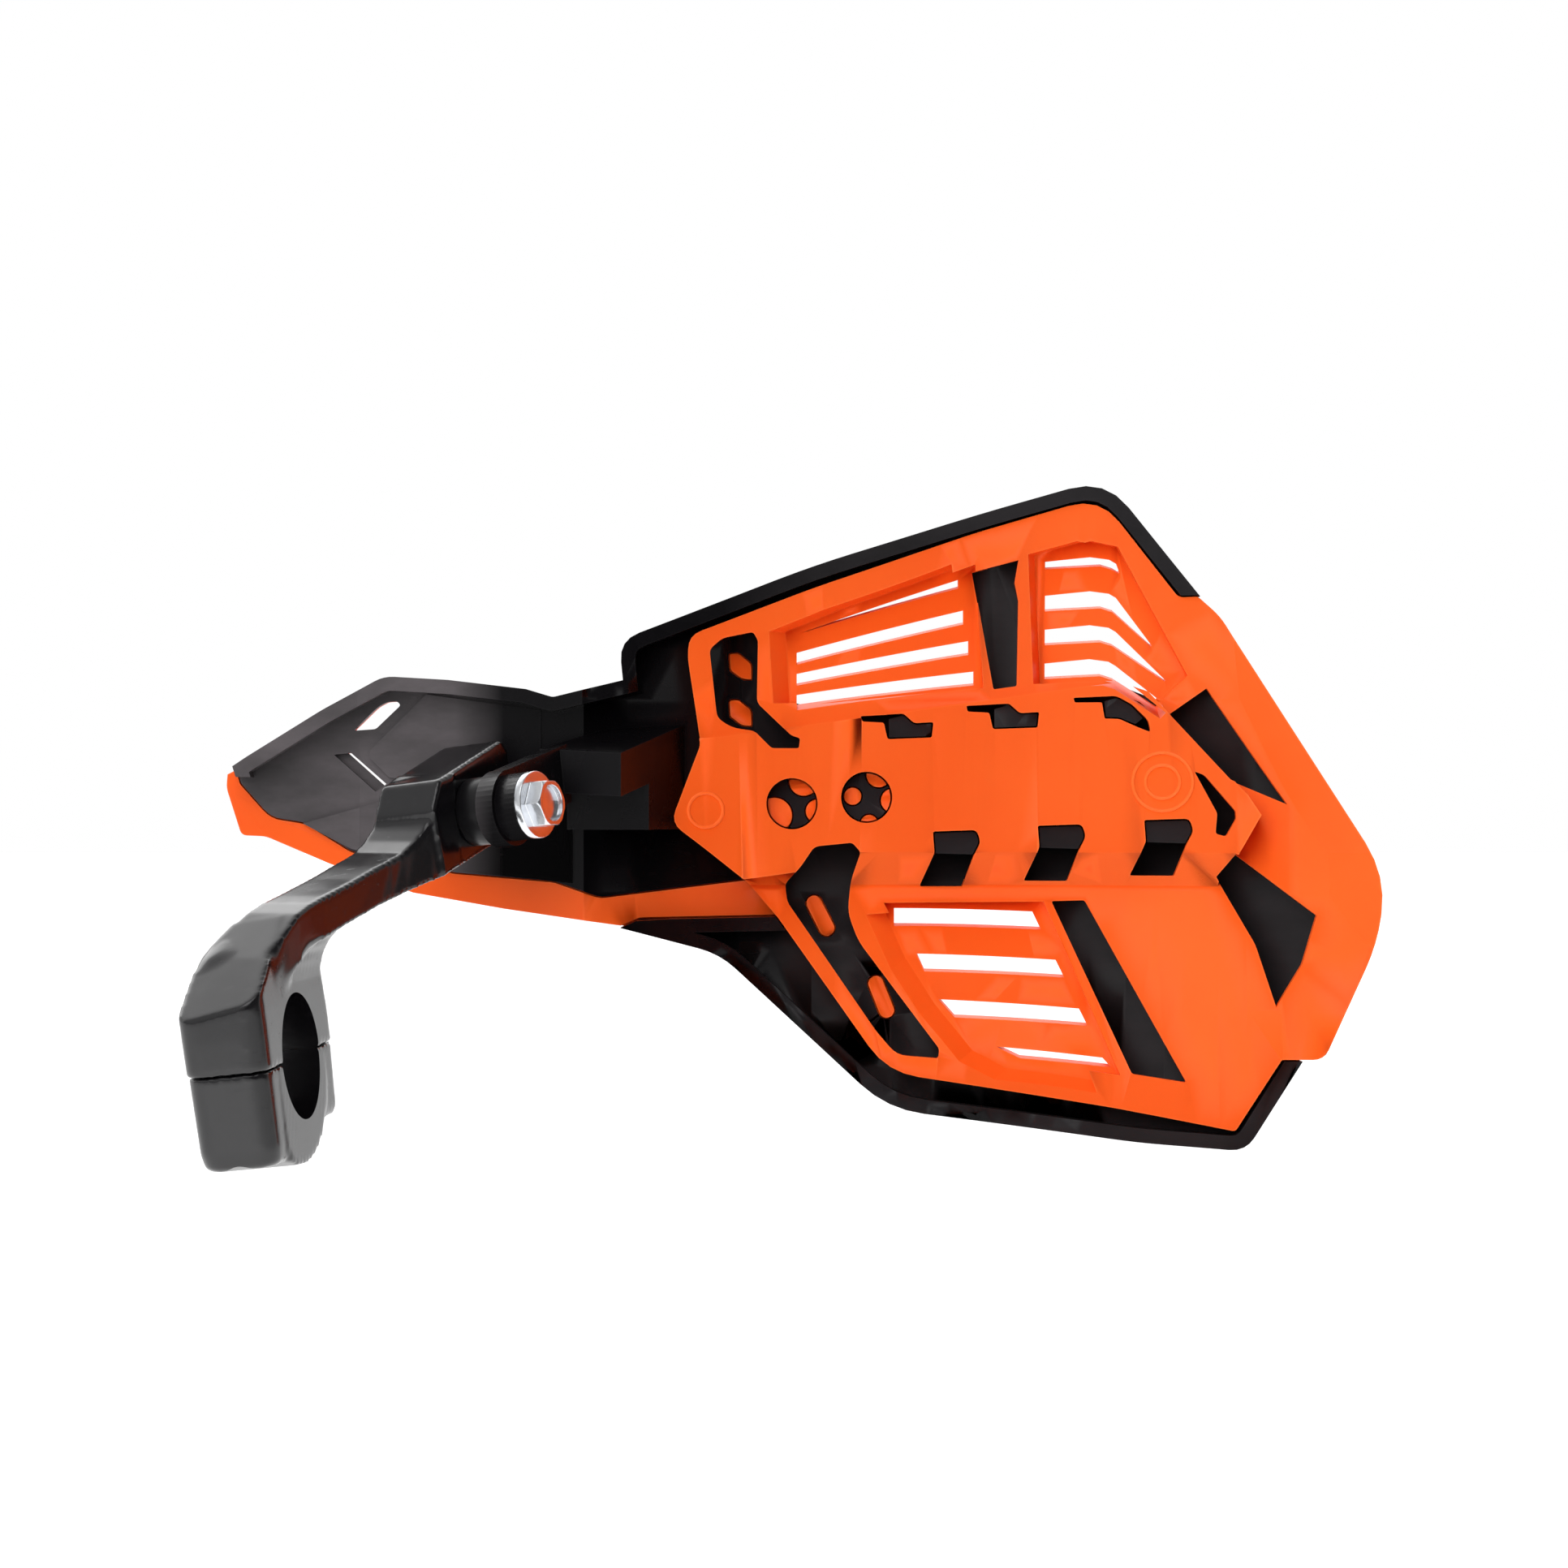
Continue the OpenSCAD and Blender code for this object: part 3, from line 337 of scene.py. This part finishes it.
def loft(rings, place, cuts=()):
    """A closed body through rings of points, trimmed by planes."""
    body = bmesh.new()
    rows = [[body.verts.new(place @ Vector(p)) for p in ring] for ring in rings]
    for low, high in zip(rows, rows[1:]):
        for i in range(len(low)):
            j = (i + 1) % len(low)
            body.faces.new((low[i], low[j], high[j], high[i]))
    body.faces.new(rows[0][::-1])
    body.faces.new(rows[-1])
    for point, normal in cuts:
        bmesh.ops.bisect_plane(body, geom=body.verts[:] + body.edges[:] + body.faces[:],
                               plane_co=point, plane_no=normal, clear_outer=True)
        bmesh.ops.holes_fill(body, edges=[e for e in body.edges if e.is_boundary])
    bmesh.ops.recalc_face_normals(body, faces=body.faces)
    return body


def across(outline, half, place):
    """A side outline carried across X by half its width each way."""
    return loft([[(side * half, y, z) for y, z in outline] for side in (-1, 1)], place)


def rod(size, axis, place, sides, middle=(0.0, 0.0)):
    """A rod of so many sides along X or Z, for a hole of that radius, start and end."""
    radius, start, end = size
    rings = []
    for reach in (start, end):
        ring = []
        for i in range(sides):
            turn = 2 * math.pi * (i + 0.5) / sides
            u, v = middle[0] + radius * math.cos(turn), middle[1] + radius * math.sin(turn)
            ring.append((reach, u, v) if axis == "X" else (u, v, reach))
        rings.append(ring)
    return loft(rings, place)


def plan(half, rear, front, rear_radius, front_radius, z, steps=8):
    """Rounded rectangle across X and from rear to front in Y."""
    points = []
    corners = [(half, front, front_radius, 0), (-half, front, front_radius, 90),
               (-half, -rear, rear_radius, 180), (half, -rear, rear_radius, 270)]
    for x, y, radius, start in corners:
        cx, cy = x - math.copysign(radius, x), y - math.copysign(radius, y)
        for i in range(steps + 1):
            turn = math.radians(start + 90 * i / steps)
            points.append((cx + radius * math.cos(turn), cy + radius * math.sin(turn), z))
    return points


def as_object(name, bodies):
    """One object in metres from bodies in millimetres, which are used up."""
    joined = bmesh.new()
    for body in bodies:
        part = bpy.data.meshes.new("part")
        body.to_mesh(part)
        joined.from_mesh(part)
        bpy.data.meshes.remove(part)
        body.free()
    bmesh.ops.scale(joined, vec=(0.001, 0.001, 0.001), verts=joined.verts)
    mesh = bpy.data.meshes.new(name)
    joined.to_mesh(mesh)
    joined.free()
    piece = bpy.data.objects.new(name, mesh)
    scene.collection.objects.link(piece)
    return piece


def bake(piece):
    """Turns a piece's modifiers into its mesh."""
    bpy.context.view_layer.update()
    shaped = piece.evaluated_get(bpy.context.evaluated_depsgraph_get())
    mesh = bpy.data.meshes.new_from_object(shaped)
    piece.modifiers.clear()
    piece.data = mesh


def smooth(piece, rounds, group=""):
    soft = piece.modifiers.new("soft", "SMOOTH")
    soft.factor = SMOOTHING
    soft.iterations = rounds
    soft.vertex_group = group
    bake(piece)


def moulding(name, node, bodies, holes, folds=()):
    """One moulding from overlapping bodies, with soft edges, blended folds and crisp holes."""
    piece = as_object(name, bodies)
    join = piece.modifiers.new("join", "REMESH")
    join.mode = "VOXEL"
    join.voxel_size = VOXEL
    smooth(piece, SOFT_ROUNDS)
    for centre, reach in folds:
        group = piece.vertex_groups.new(name="fold")
        for vertex in piece.data.vertices:
            away = (vertex.co * 1000 - Vector(centre)).length / reach
            if away < 1:
                group.add([vertex.index], 1 - away * away, "REPLACE")
        smooth(piece, FOLD_ROUNDS, group.name)
        piece.vertex_groups.clear()
    for hole in holes:
        cutter = as_object("cutter", [hole])
        cut = piece.modifiers.new("cut", "BOOLEAN")
        cut.object = cutter
        cut.solver = "EXACT"
        bake(piece)
        bpy.data.objects.remove(cutter)
    piece.data.polygons.foreach_set("use_smooth", [True] * len(piece.data.polygons))
    piece.data.set_sharp_from_angle(angle=math.radians(SHARP_ANGLE))
    piece.data.materials.clear()
    piece.data.materials.append(black_arm)
    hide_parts(node)
    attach(piece, "mount")


def beam_section(y, top, foot, half, lean=0.0):
    """Section of the beam; near the block its foot leans outboard as the block does."""
    low = BEAM_MIDDLE + lean
    return [(low - half, y, foot), (low + half, y, foot),
            (BEAM_MIDDLE + half, y, top), (BEAM_MIDDLE - half, y, top)]


def arm_bodies():
    crease = (BEAM_MIDDLE, -9.2, 18.1)
    column = loft([plan(*row) for row in COLUMN_ROWS], on_clamp,
                  [plane(on_beam, crease, (0, -0.613, 0.790)),
                   plane(on_beam, crease, (0, -0.585, 0.811)),
                   plane(on_clamp, (0, 6.0, 22.5), (0, 0.45, 0.89)),
                   plane(on_beam, (-4.9, 1.3, 25.6), (-0.81, -0.339, 0.585))])
    beam = loft([beam_section(*row) for row in BEAM_ROWS], on_beam)
    foot = [on_clamp @ Vector(p) for p in NECK_FOOT]
    under = [on_beam @ Vector(p) for p in NECK_TOP]
    neck = loft([[(*low.lerp(high, share).xy, z) for low, high in zip(foot, under)]
                 for share, z in NECK_ROWS], Matrix.Identity(4))
    return [column, beam, neck, across(BLOCK_OUTLINE, BLOCK_HALF, on_pivot)]


def cap_bodies():
    rear = loft([plan(*row) for row in CAP_REAR_ROWS], on_clamp,
                [plane(on_clamp, (0, -8.0, 0), (0, 1, 0))])
    front = loft([plan(*row) for row in CAP_FRONT_ROWS], on_clamp,
                 [plane(on_clamp, (0, 6.0, 0), (0, -1, 0))])
    return [rear, front, across(RING_OUTLINE, CAP_HALF, on_clamp)]


def clamp_holes(*screw_holes):
    """The bar's bore, then each screw hole at both places; a hole is its size and its sides."""
    bore = rod(BAR_BORE, "X", on_clamp, 96)
    return [bore] + [rod(size, "Z", on_clamp, sides, (0, y))
                     for size, sides in screw_holes for y in SCREW_PLACES]


moulding("arm_moulding", "arm", arm_bodies(),
         clamp_holes((INSERT_SEAT, 48))
         + [rod(PIVOT_BORE, "X", on_pivot, 48), rod(NUT_POCKET, "X", on_pivot, 6)], NECK_FOLDS)
moulding("cap_moulding", "clamp_cap", cap_bodies(),
         clamp_holes((SCREW_SHAFT, 40), (SCREW_HEAD, 48)))


# Rounded edges of the carried-over nodes: width in metres, and the angle that counts as an edge
ROUNDED = (("shell", 0.0004, 35), ("inner_liner", 0.0003, 35), ("front_cover", 0.0003, 35),
           ("pivot_bolt", 0.00025, 25), ("pivot_nut", 0.00025, 25), ("pivot_spacer", 0.0004, 30))
WELD_REACH = 1e-6
FLAT_ANGLE = 0.6
EDGE_SEGMENTS = 2


def soften(name, width, angle):
    """Real rounded edges on a node: its flat faces are joined, its sharp edges bevelled."""
    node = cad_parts[name]
    node.modifiers.new("join", "WELD").merge_threshold = WELD_REACH
    flat = node.modifiers.new("flatten", "DECIMATE")
    flat.decimate_type = "DISSOLVE"
    flat.angle_limit = math.radians(FLAT_ANGLE)
    edge = node.modifiers.new("edges", "BEVEL")
    edge.limit_method = "ANGLE"
    edge.angle_limit = math.radians(angle)
    edge.width = width
    edge.segments = EDGE_SEGMENTS
    edge.use_clamp_overlap = True
    edge.harden_normals = True


for row in ROUNDED:
    soften(*row)


# Mould marks: thin raised rings on the liner's face towards the rider, with X, Z and radius
MOULD_RINGS = (("mould_ring_wide", 0.1618, 0.0486, 0.0054),
               ("mould_ring_core", 0.1618, 0.0486, 0.0031),
               ("mould_ring_root", 0.0770, 0.0433, 0.0032))
# Section of a ring: how far each corner lies from its radius, and how high over the face
RING_SECTION = ((-0.00042, -0.0001), (-0.00020, 0.00016), (0.00020, 0.00016), (0.00042, -0.0001))
RING_SIDES = 72


def mould_ring(name, x, z, radius):
    """A ring that follows the liner's face, found by rays from the rider's side."""
    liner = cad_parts["inner_liner"]
    body = bmesh.new()
    rows = []
    for i in range(RING_SIDES):
        turn = 2 * math.pi * i / RING_SIDES
        row = []
        for grow, lift in RING_SECTION:
            px, pz = x + (radius + grow) * math.cos(turn), z + (radius + grow) * math.sin(turn)
            found, spot, _, _ = liner.ray_cast((px, -1, pz), (0, 1, 0))
            if not found:
                raise ValueError("no liner under " + name)
            row.append(body.verts.new((px, spot.y - lift, pz)))
        rows.append(row)
    for i, row in enumerate(rows):
        after = rows[(i + 1) % RING_SIDES]
        for j in range(len(row)):
            k = (j + 1) % len(row)
            body.faces.new((row[j], row[k], after[k], after[j]))
    bmesh.ops.recalc_face_normals(body, faces=body.faces)
    mesh = bpy.data.meshes.new(name)
    body.to_mesh(mesh)
    body.free()
    ring = bpy.data.objects.new(name, mesh)
    scene.collection.objects.link(ring)
    mesh.polygons.foreach_set("use_smooth", [True] * len(mesh.polygons))
    mesh.materials.append(orange)
    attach(ring, "guard")


bpy.context.view_layer.update()
for row in MOULD_RINGS:
    mould_ring(*row)


# Studio: a pale floor, a soft room and three soft lamps
FLOOR_REACH, FLOOR_Z, FLOOR_ROUGHNESS, FLOOR_SHOWN = 25.0, -0.30, 0.8, 0.55
# The room's light everywhere, and the direction of its bright side
ROOM_LEVEL = 0.11
BRIGHT_SIDE = (-0.62, -0.52, 0.58)
WHITE = (1, 1, 1, 1)

# Lamps: place, aim, width, height, power in watts and whether glossy surfaces show them
LAMPS = (
    ("back_top_lamp", (-0.02, 0.85, 0.66), (0.05, 0.04, 0.03), 1.8, 0.6, 5.5, True),
    ("front_fill", (-0.35, -1.05, 0.55), (0.08, 0.04, 0.04), 1.2, 1.0, 11.5, False),
    ("top_lamp", (-0.10, -0.45, 0.95), (0.08, 0.04, 0.04), 0.8, 0.6, 2.2, True),
)


def seen_rays(g):
    """1 for rays from the camera, and 1 for rays that were reflected or let through."""
    path = g.add("ShaderNodeLightPath").outputs
    return path["Is Camera Ray"], g.maths("MAXIMUM", path["Is Glossy Ray"],
                                          path["Is Transmission Ray"])


def studio_floor():
    """A matte floor that looks pale to the camera and in reflections, and keeps its shadows."""
    mesh = bpy.data.meshes.new("floor")
    corners = [(-FLOOR_REACH, -FLOOR_REACH, FLOOR_Z), (FLOOR_REACH, -FLOOR_REACH, FLOOR_Z),
               (FLOOR_REACH, FLOOR_REACH, FLOOR_Z), (-FLOOR_REACH, FLOOR_REACH, FLOOR_Z)]
    mesh.from_pydata(corners, [], [(0, 1, 2, 3)])
    floor = bpy.data.objects.new("floor", mesh)
    scene.collection.objects.link(floor)
    material, g, place, matte = new_surface("pale_floor")
    cloud = g.noise(place, *FLOOR_CLOUD)
    g.put(matte.inputs["Base Color"], g.mix(cloud, (0.84, 0.84, 0.84), (0.87, 0.87, 0.87)))
    g.put(matte.inputs["Roughness"], FLOOR_ROUGHNESS)
    shown = g.maths("MAXIMUM", *seen_rays(g))
    lift = g.add("ShaderNodeEmission")
    g.put(lift.inputs["Strength"], g.maths("MULTIPLY", shown, FLOOR_SHOWN))
    both = g.add("ShaderNodeAddShader")
    g.put(both.inputs[0], matte.outputs[0])
    g.put(both.inputs[1], lift.outputs[0])
    g.close(both)
    mesh.materials.append(material)


def studio_world():
    """A room white behind the part, bright at the photographer's upper left, dim at the right."""
    world = bpy.data.worlds.new("studio")
    scene.world = world
    world.use_nodes = True
    g = Graph(world.node_tree)
    way = g.add("ShaderNodeTexCoord").outputs["Generated"]
    axes = g.add("ShaderNodeSeparateXYZ")
    g.put(axes.inputs[0], way)
    toward = g.dot(way, Vector(BRIGHT_SIDE).normalized())
    upper_left = g.spread(toward, 0.50, 0.95, 0.0, 0.6)
    behind = g.spread(axes.outputs["Y"], 0.0, 0.5, 0.0, 1.15)
    room = g.add("ShaderNodeBackground")
    g.put(room.inputs["Color"], WHITE)
    g.put(room.inputs["Strength"],
          g.maths("ADD", g.maths("ADD", upper_left, behind), ROOM_LEVEL))
    white = g.add("ShaderNodeBackground")
    g.put(white.inputs["Color"], WHITE)
    backdrop = g.spread(axes.outputs["Y"], 0.40, 0.66)
    direct, seen = seen_rays(g)
    mixed = g.add("ShaderNodeMixShader")
    g.put(mixed.inputs[0], g.maths("MAXIMUM", direct, g.maths("MULTIPLY", seen, backdrop)))
    g.put(mixed.inputs[1], room.outputs[0])
    g.put(mixed.inputs[2], white.outputs[0])
    g.close(mixed, "ShaderNodeOutputWorld")


def soft_lamp(name, place, aim, width, height, power, glossy):
    data = bpy.data.lights.new(name, "AREA")
    data.shape = "RECTANGLE"
    data.size = width
    data.size_y = height
    data.energy = power
    lamp = bpy.data.objects.new(name, data)
    scene.collection.objects.link(lamp)
    lamp.location = place
    lamp.rotation_euler = (Vector(aim) - Vector(place)).to_track_quat("-Z", "Y").to_euler()
    lamp.visible_glossy = glossy


studio_floor()
studio_world()
for row in LAMPS:
    soft_lamp(*row)
